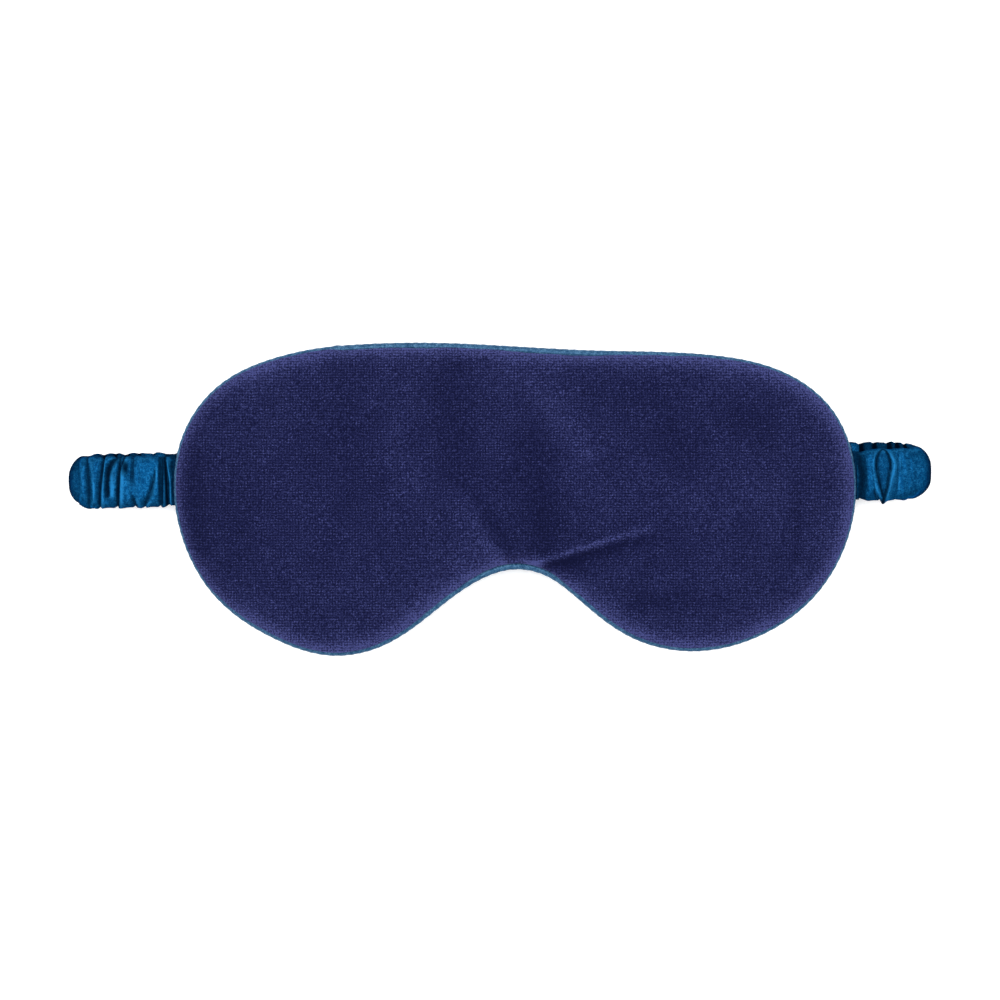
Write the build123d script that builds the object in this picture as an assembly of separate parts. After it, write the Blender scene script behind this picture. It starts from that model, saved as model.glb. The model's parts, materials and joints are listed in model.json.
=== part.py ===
from build123d import *
import math
import os

# A padded sleep mask with a gathered strap that is folded flat behind it. Millimetres.
# X runs to the right across the brow, Y towards the forehead, Z out of the velvet front.
# The origin is on the surface that the folded strap lies on, under the middle of the whole.

# ---- Driving dimensions -------------------------------------------------------------

OVERALL_LENGTH = 266.8
OUTLINE_SAMPLES = 48
MASK_OUTLINE = [
    (-50.0, 47.9), (-15.0, 48.7), (28.0, 46.5), (66.0, 45.0), (90.0, 38.8), (103.0, 28.2),
    (110.4, 6.0), (107.0, -14.5), (97.0, -30.6), (79.0, -42.9), (60.0, -47.0), (40.0, -42.4),
    (24.0, -30.6), (14.0, -23.5), (4.5, -21.6), (-6.0, -24.7), (-21.5, -35.6), (-35.0, -44.7),
    (-51.0, -48.4), (-71.0, -42.6), (-88.0, -30.4), (-98.0, -13.5), (-101.1, 2.0),
    (-98.3, 20.5), (-87.0, 35.8), (-69.0, 44.4),
]

STRAP_WIDTH = 15.5
STRAP_THICKNESS = 3.0
STRAP_EDGE_ROUND = 1.2
CASING_CAVITY_WIDTH = 12.5
CASING_CAVITY_HEIGHT = 1.8
CASING_END_WALL = 0.8
ELASTIC_WIDTH = 11.5
ELASTIC_THICKNESS = 1.0
LOOP_RADIUS = 3.6
FOLD_SECTIONS = 7
STRAP_REACH = 40.0
RIGHT_TAB_Y = 6.8
LEFT_TAB_Y = 5.4
RUN_Y_AT_RIGHT_FOLD = 9.8
RUN_Y_AT_LEFT_FOLD = 6.2

STRAP_STRETCH = 30.0
WORN_RUN_ANGLE = 60.0
STRETCH_POINT_FROM_RIGHT_BEND = 24.0
HINGE_GAP = 0.3
SEAM_GAP = 0.4

PIPING_DIAMETER = 2.4
PIPING_BORE = 1.2
PIPING_CORD_DIAMETER = 1.1
PIPING_OVERLAP = 0.4
PIPING_ROUND_SLACK = 0.15
FLANGE_END_INSET = 7.0

PANEL_INSET = 2.5
LINER_INSET = 2.6
SEAM_ALLOWANCE = 6.0
VELVET_THICKNESS = 1.2
VELVET_LIP_THICKNESS = 0.6
VELVET_EDGE_RADIUS = 4.4
SATIN_THICKNESS = 0.5
SATIN_EDGE_RADIUS = 4.0
THREAD_THICKNESS = 0.28
STITCH_LINE_INSET = 4.0

# Gaps between the layers: round the edge of a filling, against its panel's face, against the
# liner, under the stitched lips, beside a thread, and round the plug that fills the lips' mouth.
FILLING_EDGE_GAP = 0.2
FILLING_FACE_GAP = 0.1
LINER_GAP = 0.05
LIP_GAP = 0.4
THREAD_GAP = 0.02
PLUG_GAP = 0.5
PLUG_OVERLAP = 0.5

ANCHOR_WIDTH = 13.0
BARTACK_LENGTH = 12.0
BARTACK_WIDTH = 1.2
BARTACK_INSET = 5.3

# Heights of the layers, from the bottom up, as (bottom, top).
BACK_PANEL_Z = (3.4, 8.2)
ANCHOR_Z = (8.3, 9.1)
LINER_Z = (9.15, 9.45)
FLANGE_Z = (9.5, 9.9)
FRONT_PANEL_Z = (10.0, 15.2)
BEAD_MIDDLE_Z = 10.4

# How far a cutting solid reaches past what it cuts.
OVERRUN = 1.0

# ---- Worked out from the driving dimensions -----------------------------------------

RUN_MID_Z = STRAP_THICKNESS / 2
FOLD_MID_Z = RUN_MID_Z + LOOP_RADIUS
TAB_MID_Z = FOLD_MID_Z + LOOP_RADIUS
FOLD_X = OVERALL_LENGTH / 2 - LOOP_RADIUS - STRAP_THICKNESS / 2
CREASE_X = FOLD_X + LOOP_RADIUS
LIP_END_INSET = PANEL_INSET + SEAM_ALLOWANCE
PLUG_INSET = LIP_END_INSET + PLUG_GAP


def mask_outline():
    """The outer edge of the piping, seen from the front, clockwise, centred on Y."""
    curve = Spline(*MASK_OUTLINE, periodic=True)
    box = curve.bounding_box()
    middle_y = (box.min.Y + box.max.Y) / 2
    return Spline(*[(x, y - middle_y) for x, y in MASK_OUTLINE], periodic=True)


OUTLINE = mask_outline()
OUTLINE_BOX = OUTLINE.bounding_box()
RIGHT_SEAM_X = OUTLINE_BOX.max.X + SEAM_GAP + STRAP_THICKNESS / 2
LEFT_SEAM_X = OUTLINE_BOX.min.X - SEAM_GAP - STRAP_THICKNESS / 2


def bend_positions():
    """Where the run bends when the strap is opened round a head.

    The strap leaves both seams square to the mask, turns inwards by WORN_RUN_ANGLE from
    the mask's plane and is parallel to the mask in the middle, longer by STRAP_STRETCH.
    The loop closes only for one pair of bends: across the mask, the two slanted runs and
    the stretched middle span the distance between the creases, and both sides go equally
    deep.
    """
    slant = math.radians(WORN_RUN_ANGLE)
    span = (RIGHT_SEAM_X - LOOP_RADIUS) - (LEFT_SEAM_X + LOOP_RADIUS)
    run_length = 2 * CREASE_X
    crease_shift = 2 * LOOP_RADIUS * math.sin(slant)
    slants_total = run_length + STRAP_STRETCH - span - crease_shift
    slants_total = slants_total / (1 - math.cos(slant))
    tab_difference = (CREASE_X + LEFT_SEAM_X) - (CREASE_X - RIGHT_SEAM_X)
    slants_difference = tab_difference / math.sin(slant)
    right_slant = (slants_total + slants_difference) / 2
    left_slant = (slants_total - slants_difference) / 2
    return CREASE_X - right_slant, left_slant - CREASE_X


RIGHT_BEND_X, LEFT_BEND_X = bend_positions()
STRETCH_X = RIGHT_BEND_X - STRETCH_POINT_FROM_RIGHT_BEND


# ---- Helpers for the mask -----------------------------------------------------------

def inset_outline(inset):
    """A curve that runs inside the mask's outline at the same distance all round."""
    if inset == 0:
        return OUTLINE
    points = []
    for step in range(OUTLINE_SAMPLES):
        place = OUTLINE @ (step / OUTLINE_SAMPLES)
        along = OUTLINE % (step / OUTLINE_SAMPLES)
        points.append((place.X + inset * along.Y, place.Y - inset * along.X))
    return Spline(*points, periodic=True)


def slab(inset, bottom, top):
    """A plate with the mask's outline, its edge inset from the outer edge of the piping."""
    return extrude(Pos(0, 0, bottom) * make_face(inset_outline(inset)), top - bottom)


def ring(outer_inset, inner_inset, bottom, top):
    """A flat ring that follows the mask's outline."""
    return slab(outer_inset, bottom, top) - slab(inner_inset, bottom - OVERRUN, top + OVERRUN)


def rounded_ring(outer_inset, diameter, middle):
    """A ring with a near-round section, as a cord laid round the mask has."""
    body = ring(
        outer_inset, outer_inset + diameter, middle - diameter / 2, middle + diameter / 2
    )
    flat_faces = body.faces().filter_by(Axis.Z)
    return fillet(flat_faces.edges(), diameter / 2 - PIPING_ROUND_SLACK)


def domed_slab(inset, bottom, top, radius, dome_up):
    """A plate with the mask's outline and one face's edge rounded over."""
    body = slab(inset, bottom, top)
    level = -1 if dome_up else 0
    return fillet(body.edges().group_by(Axis.Z)[level], radius)


# ---- Pieces of the mask -------------------------------------------------------------

def front_panel():
    """Velvet front: a shallow domed shell with its seam allowance turned inwards."""
    bottom, top = FRONT_PANEL_Z
    shell = domed_slab(PANEL_INSET, bottom, top, VELVET_EDGE_RADIUS, True)
    hollow = domed_slab(
        PANEL_INSET + VELVET_THICKNESS,
        bottom + VELVET_LIP_THICKNESS,
        top - VELVET_THICKNESS,
        VELVET_EDGE_RADIUS - VELVET_THICKNESS,
        True,
    )
    mouth = slab(LIP_END_INSET, bottom - OVERRUN, bottom + VELVET_LIP_THICKNESS + OVERRUN)
    return shell - hollow - mouth


def back_panel():
    """Satin back: the same shell the other way up, in thinner cloth."""
    bottom, top = BACK_PANEL_Z
    shell = domed_slab(PANEL_INSET, bottom, top, SATIN_EDGE_RADIUS, False)
    hollow = domed_slab(
        PANEL_INSET + SATIN_THICKNESS,
        bottom + SATIN_THICKNESS,
        top - SATIN_THICKNESS,
        SATIN_EDGE_RADIUS - SATIN_THICKNESS,
        False,
    )
    mouth = slab(LIP_END_INSET, top - SATIN_THICKNESS - OVERRUN, top + OVERRUN)
    return shell - hollow - mouth


def piping_cover():
    """Satin piping: a tube round the edge of the mask with a flange that is sewn in."""
    bead = rounded_ring(0, PIPING_DIAMETER, BEAD_MIDDLE_Z)
    wall = (PIPING_DIAMETER - PIPING_BORE) / 2
    bore = ring(
        wall, PIPING_DIAMETER - wall,
        BEAD_MIDDLE_Z - PIPING_BORE / 2, BEAD_MIDDLE_Z + PIPING_BORE / 2,
    )
    flange = ring(PIPING_DIAMETER - PIPING_OVERLAP, FLANGE_END_INSET, *FLANGE_Z)
    return bead + flange - bore


def piping_cord():
    """The filler cord inside the piping."""
    inset = (PIPING_DIAMETER - PIPING_CORD_DIAMETER) / 2
    return rounded_ring(inset, PIPING_CORD_DIAMETER, BEAD_MIDDLE_Z)


def foam_pad():
    """Foam under the velvet, with a plug that fills the mouth between the lips."""
    bottom = FRONT_PANEL_Z[0] + VELVET_LIP_THICKNESS + LIP_GAP
    top = FRONT_PANEL_Z[1] - VELVET_THICKNESS - FILLING_FACE_GAP
    inset = PANEL_INSET + VELVET_THICKNESS + FILLING_EDGE_GAP
    radius = min(VELVET_EDGE_RADIUS - VELVET_THICKNESS, top - bottom) - FILLING_FACE_GAP
    pad = domed_slab(inset, bottom, top, radius, True)
    plug = slab(PLUG_INSET, LINER_Z[1] + LINER_GAP, bottom + PLUG_OVERLAP)
    return pad + plug


def back_wadding():
    """Thin wadding behind the satin back, with a plug up to the blackout liner."""
    bottom = BACK_PANEL_Z[0] + SATIN_THICKNESS + FILLING_FACE_GAP
    top = BACK_PANEL_Z[1] - SATIN_THICKNESS - LIP_GAP
    inset = PANEL_INSET + SATIN_THICKNESS + FILLING_EDGE_GAP
    radius = min(SATIN_EDGE_RADIUS - SATIN_THICKNESS, top - bottom) - FILLING_FACE_GAP
    pad = domed_slab(inset, bottom, top, radius, False)
    plug = slab(PLUG_INSET, top - PLUG_OVERLAP, LINER_Z[0] - LINER_GAP)
    return pad + plug


def blackout_liner():
    """Opaque lining, caught in the seam all round."""
    return slab(LINER_INSET, *LINER_Z)


def needle_thread():
    """The needle side of the lockstitch, on the velvet's seam allowance."""
    bottom = FRONT_PANEL_Z[0] + VELVET_LIP_THICKNESS + THREAD_GAP
    outer = STITCH_LINE_INSET
    return ring(outer, outer + THREAD_THICKNESS, bottom, bottom + THREAD_THICKNESS)


def bobbin_thread():
    """The bobbin side of the lockstitch, on the satin's seam allowance."""
    top = BACK_PANEL_Z[1] - SATIN_THICKNESS - THREAD_GAP
    outer = STITCH_LINE_INSET
    return ring(outer, outer + THREAD_THICKNESS, top - THREAD_THICKNESS, top)


def strap_anchor(edge_x, side, centre_y):
    """The gathered end of the strap, flattened between the layers of the seam."""
    outer_x = edge_x + side * SEAM_GAP / 2
    inner_x = edge_x - side * LIP_END_INSET
    height = ANCHOR_Z[1] - ANCHOR_Z[0]
    middle = Pos((outer_x + inner_x) / 2, centre_y, sum(ANCHOR_Z) / 2)
    return middle * Box(abs(outer_x - inner_x), ANCHOR_WIDTH, height)


def bartack(edge_x, side, centre_y):
    """A dense bar of stitches across the strap end, on the seam allowance."""
    x = edge_x - side * (BARTACK_INSET + BARTACK_WIDTH / 2)
    z = FRONT_PANEL_Z[0] + VELVET_LIP_THICKNESS + THREAD_GAP + THREAD_THICKNESS / 2
    return Pos(x, centre_y, z) * Box(BARTACK_WIDTH, BARTACK_LENGTH, THREAD_THICKNESS)


# ---- Helpers for the strap ----------------------------------------------------------

def tab_y(side):
    """Y of the middle of the short length of strap between a seam and its fold."""
    return RIGHT_TAB_Y if side > 0 else LEFT_TAB_Y


def run_y(x):
    """Y of the middle of the long run behind the mask, which lies a little askew."""
    share = (x + FOLD_X) / (2 * FOLD_X)
    return RUN_Y_AT_LEFT_FOLD + share * (RUN_Y_AT_RIGHT_FOLD - RUN_Y_AT_LEFT_FOLD)


def strip(x_low, x_high, y_of, z_middle, width, thickness, round_low=False, round_high=False):
    """A straight length of band along X.

    A rounded end is a half cylinder on the pivot at that end, so it turns in its gap.
    """
    half = thickness / 2
    side_view = Pos((x_low + x_high) / 2, 0, z_middle) * Rot(X=90) * Rectangle(
        x_high - x_low, thickness
    )
    body = extrude(side_view, STRAP_REACH, both=True)
    for wanted, x in ((round_low, x_low), (round_high, x_high)):
        if wanted:
            body += Pos(x, 0, z_middle) * Rot(X=90) * Cylinder(half, 2 * STRAP_REACH)
    low, high = x_low - thickness, x_high + thickness
    corners = [
        (low, y_of(low) - width / 2),
        (high, y_of(high) - width / 2),
        (high, y_of(high) + width / 2),
        (low, y_of(low) + width / 2),
    ]
    outline = Pos(0, 0, z_middle) * make_face(Polyline(*corners, close=True))
    return body & extrude(outline, thickness, both=True)


def casing(x_low, x_high, y_of, z_middle, round_low=False, round_high=False,
           wall_low=0.0, wall_high=0.0):
    """A length of the gathered satin tube. An end with a wall is closed."""
    tube = strip(x_low, x_high, y_of, z_middle, STRAP_WIDTH, STRAP_THICKNESS,
                 round_low, round_high)
    if not (round_low or round_high):
        half_length = (x_high - x_low) / 2
        long_edges = tube.edges().filter_by(lambda edge: edge.length > half_length)
        tube = fillet(long_edges, STRAP_EDGE_ROUND)
    overrun = STRAP_THICKNESS
    bore_low = x_low + wall_low if wall_low else x_low - overrun
    bore_high = x_high - wall_high if wall_high else x_high + overrun
    bore = strip(bore_low, bore_high, y_of, z_middle, CASING_CAVITY_WIDTH, CASING_CAVITY_HEIGHT)
    return tube - bore


def elastic(x_low, x_high, y_of, z_middle):
    """A length of the flat elastic inside the casing."""
    return strip(x_low, x_high, y_of, z_middle, ELASTIC_WIDTH, ELASTIC_THICKNESS)


def fold_band(side, width, thickness):
    """The band's U-turn at one end of the folded strap, which also shifts along Y."""
    sections = []
    for step in range(FOLD_SECTIONS):
        share = step / (FOLD_SECTIONS - 1)
        angle = math.radians(90 - 180 * share)
        y = tab_y(side) + share * (run_y(side * FOLD_X) - tab_y(side))
        centre = (
            side * (FOLD_X + LOOP_RADIUS * math.cos(angle)),
            y,
            FOLD_MID_Z + LOOP_RADIUS * math.sin(angle),
        )
        along = (side * math.sin(angle), 0, -math.cos(angle))
        plane = Plane(origin=centre, x_dir=(0, 1, 0), z_dir=along)
        sections.append(plane * Rectangle(width, thickness))
    return loft(sections)


def fold_casing(side):
    """The casing round the U-turn."""
    outer = fold_band(side, STRAP_WIDTH, STRAP_THICKNESS)
    return outer - fold_band(side, CASING_CAVITY_WIDTH, CASING_CAVITY_HEIGHT)


# ---- Lengths of the strap -----------------------------------------------------------

def strap_lengths():
    """Each straight length: its name, its ends, where it lies and how its ends are made."""
    hinge = STRAP_THICKNESS / 2 + HINGE_GAP
    slide_gap = HINGE_GAP / 2
    return {
        "right_tab": dict(
            x_low=RIGHT_SEAM_X, x_high=FOLD_X - HINGE_GAP,
            y_of=lambda x: tab_y(1), z_middle=TAB_MID_Z,
            round_low=True, wall_low=CASING_END_WALL,
        ),
        "right_run": dict(
            x_low=RIGHT_BEND_X, x_high=FOLD_X, y_of=run_y, z_middle=RUN_MID_Z,
            round_low=True, wall_low=CASING_END_WALL,
        ),
        "middle_right_run": dict(
            x_low=STRETCH_X + slide_gap, x_high=RIGHT_BEND_X - hinge,
            y_of=run_y, z_middle=RUN_MID_Z, wall_high=CASING_END_WALL,
        ),
        "middle_left_run": dict(
            x_low=LEFT_BEND_X + hinge, x_high=STRETCH_X - slide_gap,
            y_of=run_y, z_middle=RUN_MID_Z, wall_low=CASING_END_WALL,
        ),
        "left_run": dict(
            x_low=-FOLD_X, x_high=LEFT_BEND_X, y_of=run_y, z_middle=RUN_MID_Z,
            round_high=True, wall_high=CASING_END_WALL,
        ),
        "left_tab": dict(
            x_low=HINGE_GAP - FOLD_X, x_high=LEFT_SEAM_X,
            y_of=lambda x: tab_y(-1), z_middle=TAB_MID_Z,
            round_high=True, wall_high=CASING_END_WALL,
        ),
    }


def strap_elastic(name, length):
    """The elastic in one length of casing, and across the stretch joint in the middle."""
    low = length["x_low"] + (length.get("wall_low", 0) and length["wall_low"] + HINGE_GAP)
    high = length["x_high"] - (length.get("wall_high", 0) and length["wall_high"] + HINGE_GAP)
    overlap_end = STRETCH_X - STRAP_STRETCH - STRAP_THICKNESS
    if name == "middle_right_run":
        low = overlap_end
    if name == "middle_left_run":
        high = overlap_end - HINGE_GAP
    return elastic(low, high, length["y_of"], length["z_middle"])


def build_parts():
    """Every piece of the sleep mask, by node name."""
    right_edge, left_edge = OUTLINE_BOX.max.X, OUTLINE_BOX.min.X
    parts = {
        "front_panel": front_panel(),
        "back_panel": back_panel(),
        "piping_cover": piping_cover(),
        "piping_cord": piping_cord(),
        "foam_pad": foam_pad(),
        "blackout_liner": blackout_liner(),
        "back_wadding": back_wadding(),
        "needle_thread": needle_thread(),
        "bobbin_thread": bobbin_thread(),
    }
    for name, edge, side in (("right", right_edge, 1), ("left", left_edge, -1)):
        parts[name + "_strap_anchor"] = strap_anchor(edge, side, tab_y(side))
        parts[name + "_bartack"] = bartack(edge, side, tab_y(side))
        parts[name + "_fold_casing"] = fold_casing(side)
        parts[name + "_fold_elastic"] = fold_band(side, ELASTIC_WIDTH, ELASTIC_THICKNESS)
    for name, length in strap_lengths().items():
        parts[name + "_casing"] = casing(**length)
        parts[name + "_elastic"] = strap_elastic(name, length)
    return parts


os.makedirs("parts", exist_ok=True)
for node_name, shape in build_parts().items():
    export_step(shape, "parts/" + node_name + ".step")

print("seam pivots X", RIGHT_SEAM_X, LEFT_SEAM_X, "Z", TAB_MID_Z)
print("fold creases X", CREASE_X, "Z", FOLD_MID_Z)
print("bends X", RIGHT_BEND_X, LEFT_BEND_X, "stretch point X", STRETCH_X)
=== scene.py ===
import json
import math

import bpy
import numpy as np
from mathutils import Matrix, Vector, geometry
from mathutils.bvhtree import BVHTree


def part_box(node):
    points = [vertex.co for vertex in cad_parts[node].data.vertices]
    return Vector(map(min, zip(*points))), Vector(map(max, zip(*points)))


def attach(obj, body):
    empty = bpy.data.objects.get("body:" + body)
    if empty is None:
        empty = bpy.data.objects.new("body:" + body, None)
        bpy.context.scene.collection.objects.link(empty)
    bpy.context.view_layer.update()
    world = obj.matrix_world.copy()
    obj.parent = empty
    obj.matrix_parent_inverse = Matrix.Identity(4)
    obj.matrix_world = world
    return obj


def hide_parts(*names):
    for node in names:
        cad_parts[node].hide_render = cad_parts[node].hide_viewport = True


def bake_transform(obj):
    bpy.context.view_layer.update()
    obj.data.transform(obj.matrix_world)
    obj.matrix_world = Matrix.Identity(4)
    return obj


# A padded velvet sleep mask with satin piping and a ruched satin strap folded behind it.
# Lengths are in millimetres up to the point where a mesh or an object is made.

MM = 0.001
SEED = 7

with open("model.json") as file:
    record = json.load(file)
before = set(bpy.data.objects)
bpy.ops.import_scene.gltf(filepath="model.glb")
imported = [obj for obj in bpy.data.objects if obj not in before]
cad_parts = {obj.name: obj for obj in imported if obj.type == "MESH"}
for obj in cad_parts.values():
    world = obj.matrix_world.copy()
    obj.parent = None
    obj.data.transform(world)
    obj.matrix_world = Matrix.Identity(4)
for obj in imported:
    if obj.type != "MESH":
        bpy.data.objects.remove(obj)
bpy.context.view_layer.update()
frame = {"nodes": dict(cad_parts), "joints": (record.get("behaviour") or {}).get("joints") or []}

# ---- The mask's edge --------------------------------------------------------------------

EDGE_CENTRE = (4.65, 9.7)
EDGE_RAYS = 720
EDGE_HARMONICS = 46
EDGE_POINTS = 380
BEAD_RADIUS = 1.2
BEAD_HEIGHT = 10.4
NOTCH = (4.5, -21.6)

# ---- The strap --------------------------------------------------------------------------

STRAP_STEP = 0.24
STRAP_AROUND = 76
STRAP_WIDTH = 16.1
STRAP_CORE = 0.72
RUCHE_TAB = 1.45
RUCHE_RUN = 0.84
ELASTIC_WIDTH = 11.5
ELASTIC_THICKNESS = 1.0
RUN_HEIGHT = 1.62
# Where the pieces of the strap's lower layer meet, as x.
CUTS = (88.0, 34.0, -45.0, -93.0)


def node_mesh_tree(name):
    """A search tree over a CAD node's surface, in mm."""
    mesh = frame["nodes"][name].data
    corners = [v.co / MM for v in mesh.vertices]
    return BVHTree.FromPolygons(corners, [tuple(p.vertices) for p in mesh.polygons])


def read_edge():
    """Evenly spaced points on the outer edge of the CAD piping, anticlockwise, with inward normals."""
    tree = node_mesh_tree("piping_cover")
    centre = Vector((*EDGE_CENTRE, BEAD_HEIGHT))
    found = []
    for step in range(EDGE_RAYS):
        angle = 2 * math.pi * step / EDGE_RAYS
        out = Vector((math.cos(angle), math.sin(angle), 0))
        hit = tree.ray_cast(centre + out * 200, -out)[0]
        found.append(complex(hit.x, hit.y))
    waves = np.fft.fft(np.array(found))
    fine = np.zeros(EDGE_RAYS * 4, complex)
    fine[: EDGE_HARMONICS + 1] = waves[: EDGE_HARMONICS + 1]
    fine[-EDGE_HARMONICS:] = waves[-EDGE_HARMONICS:]
    smooth = np.fft.ifft(fine) * 4
    closed = np.append(smooth, smooth[0])
    length = np.concatenate([[0], np.cumsum(np.abs(np.diff(closed)))])
    even = np.linspace(0, length[-1], EDGE_POINTS, endpoint=False)
    points = np.interp(even, length, closed.real) + 1j * np.interp(even, length, closed.imag)
    along = np.roll(points, -1) - np.roll(points, 1)
    inward = 1j * along / np.abs(along)
    return np.stack([points.real, points.imag], 1), np.stack([inward.real, inward.imag], 1)


EDGE, INWARD = read_edge()


def smooth_step(low, high, value):
    t = np.clip((value - low) / (high - low), 0, 1)
    return t * t * (3 - 2 * t)


# ---- Meshes -----------------------------------------------------------------------------

def make_object(name, points, faces, smooth=True):
    """A mesh object from points in mm."""
    mesh = bpy.data.meshes.new(name)
    mesh.from_pydata([tuple(p) for p in np.asarray(points, float) * MM], [], faces)
    mesh.validate()
    mesh.polygons.foreach_set("use_smooth", [smooth] * len(mesh.polygons))
    mesh.update()
    made = bpy.data.objects.new(name, mesh)
    bpy.context.scene.collection.objects.link(made)
    return made


def read_points(obj):
    """A mesh's points in mm."""
    flat = np.zeros(len(obj.data.vertices) * 3)
    obj.data.vertices.foreach_get("co", flat)
    return flat.reshape(-1, 3) / MM


def write_points(obj, points):
    obj.data.vertices.foreach_set("co", (points * MM).ravel())
    obj.data.update()


def apply_modifiers(obj):
    """Swaps the object's mesh for the one its modifiers make."""
    bpy.context.view_layer.update()
    seen = obj.evaluated_get(bpy.context.evaluated_depsgraph_get())
    made = bpy.data.meshes.new_from_object(seen)
    obj.modifiers.clear()
    old = obj.data
    obj.data = made
    bpy.data.meshes.remove(old)
    obj.data.polygons.foreach_set("use_smooth", [True] * len(obj.data.polygons))


def subdivide(obj):
    modifier = obj.modifiers.new("smooth", "SUBSURF")
    modifier.levels = 1
    modifier.render_levels = 1
    apply_modifiers(obj)


def set_attribute(obj, name, values):
    attribute = obj.data.attributes.new(name, "FLOAT", "POINT")
    attribute.data.foreach_set("value", np.asarray(values, np.float32))


def grid_faces(rows, columns, wrap_rows=False):
    """Quads between rows of points, each row a ring of columns points."""
    faces = []
    for r in range(rows if wrap_rows else rows - 1):
        below = ((r + 1) % rows) * columns
        for c in range(columns):
            d = (c + 1) % columns
            faces.append((r * columns + c, r * columns + d, below + d, below + c))
    return faces


# ---- Panels -----------------------------------------------------------------------------

def edge_overhang():
    """How far in from the piping's outer edge the velvet's rim sits, at each edge point."""
    x, y = EDGE[:, 0], EDGE[:, 1]
    over = np.full(len(EDGE), 1.2)
    over += 0.5 * (y > 20) * smooth_step(-52.0, -50.2, x) * (1 - smooth_step(20, 48, x))
    over += 0.6 * (y < -8) * np.exp(-(((x - NOTCH[0]) / 11.5) ** 2))
    over += 0.18 * (y < -30)
    return over


def edge_distance(points):
    """Distance from each point to the mask's edge, in plan."""
    gaps = [np.hypot(EDGE[:, 0] - x, EDGE[:, 1] - y).min() for x, y in points]
    return np.array(gaps)


def panel_mesh(name, insets, heights, crown, lattice, fine_lattice, fine_at, fine_radius):
    """A sewn panel: rings that make its rounded rim, then a net of triangles over its middle.

    insets and heights hold one row per ring, outermost first, and one column per edge point.
    crown gives the height of the middle from a point's distance to the edge.
    """
    rings = [
        np.column_stack([EDGE + INWARD * inset[:, None], height])
        for inset, height in zip(insets, heights)
    ]
    count = len(EDGE)
    points = np.concatenate(rings)
    faces = grid_faces(len(rings), count)
    last = rings[-1]
    low, high = EDGE.min(0), EDGE.max(0)
    inner = []
    for spacing, near in ((lattice, False), (fine_lattice, True)):
        step_y = spacing * math.sqrt(3) / 2
        for row in range(int((high[1] - low[1]) / step_y) + 1):
            shift = spacing / 2 * (row % 2)
            for column in range(int((high[0] - low[0]) / spacing) + 1):
                x = low[0] + shift + column * spacing
                y = low[1] + row * step_y
                if (math.hypot(x - fine_at[0], y - fine_at[1]) < fine_radius) == near:
                    inner.append((x, y))
    inner = np.array(inner)
    gap = edge_distance(inner)
    deep = np.max(insets[-1]) + lattice * 0.55
    tree = BVHTree.FromPolygons(
        [Vector((x, y, 0)) for x, y in EDGE], [tuple(range(count))]
    )
    keep = [
        g > deep and tree.ray_cast(Vector((x, y, 5)), Vector((0, 0, -1)))[0] is not None
        for (x, y), g in zip(inner, gap)
    ]
    inner, gap = inner[keep], gap[keep]
    flat = [Vector((x, y)) for x, y in np.concatenate([last[:, :2], inner])]
    border = [(i, (i + 1) % count) for i in range(count)]
    found = geometry.delaunay_2d_cdt(flat, border, [], 1, 1e-5)
    seen, _, triangles, sources = found[:4]
    first = (len(rings) - 1) * count
    index = []
    extra = []
    for place, source in zip(seen, sources):
        if source and source[0] < count:
            index.append(first + source[0])
        else:
            index.append(len(points) + len(extra))
            extra.append((place.x, place.y))
    extra = np.array(extra)
    middle = np.column_stack([extra, crown(edge_distance(extra))])
    points = np.concatenate([points, middle])
    faces += [tuple(index[i] for i in triangle) for triangle in triangles]
    return make_object(name, points, faces)


def outward(obj, up):
    """Turns the faces so that their normals point away from the mask's middle plane."""
    total = sum(p.normal.z * p.area for p in obj.data.polygons)
    if (total > 0) != up:
        obj.data.flip_normals()


CLOTH_SETTINGS = {
    "quality": 5,
    "mass": 0.15,
    "tension_stiffness": 12,
    "compression_stiffness": 12,
    "shear_stiffness": 6,
    "bending_stiffness": 0.6,
    "air_damping": 1.5,
}
CLOTH_FRAMES = 20


def inflate(obj, pinned, pressure, looseness, cap):
    """Settles the panel's cloth over its filling by simulation, moving no point further than cap."""
    before = read_points(obj)
    group = obj.vertex_groups.new(name="sewn")
    for index in pinned:
        group.add([int(index)], 1.0, "REPLACE")
    modifier = obj.modifiers.new("cloth", "CLOTH")
    cloth = modifier.settings
    for setting, value in CLOTH_SETTINGS.items():
        setattr(cloth, setting, value)
    cloth.use_pressure = True
    cloth.uniform_pressure_force = pressure
    cloth.shrink_min = -looseness
    cloth.vertex_group_mass = "sewn"
    cloth.effector_weights.gravity = 0
    modifier.point_cache.frame_start = 1
    modifier.point_cache.frame_end = CLOTH_FRAMES
    scene = bpy.context.scene
    for frame_number in range(1, CLOTH_FRAMES + 1):
        scene.frame_set(frame_number)
    apply_modifiers(obj)
    scene.frame_set(1)
    move = read_points(obj) - before
    size = np.linalg.norm(move, axis=1)
    limit = cap * np.tanh(size / cap) / np.maximum(size, 1e-9)
    write_points(obj, before + move * limit[:, None])


def stroke_distance(points, line):
    """Distance of each point to a polyline in plan, and the share of the way along it."""
    line = np.array(line, float)
    lengths = np.linalg.norm(np.diff(line, axis=0), axis=1)
    starts = np.concatenate([[0], np.cumsum(lengths)])
    best = np.full(len(points), 1e9)
    share = np.zeros(len(points))
    for a, b, length, start in zip(line[:-1], line[1:], lengths, starts):
        t = np.clip((points - a) @ (b - a) / length**2, 0, 1)
        gap = np.linalg.norm(points - (a + t[:, None] * (b - a)), axis=1)
        nearer = gap < best
        best[nearer] = gap[nearer]
        share[nearer] = ((start + t * length) / starts[-1])[nearer]
    return best, share


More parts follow.
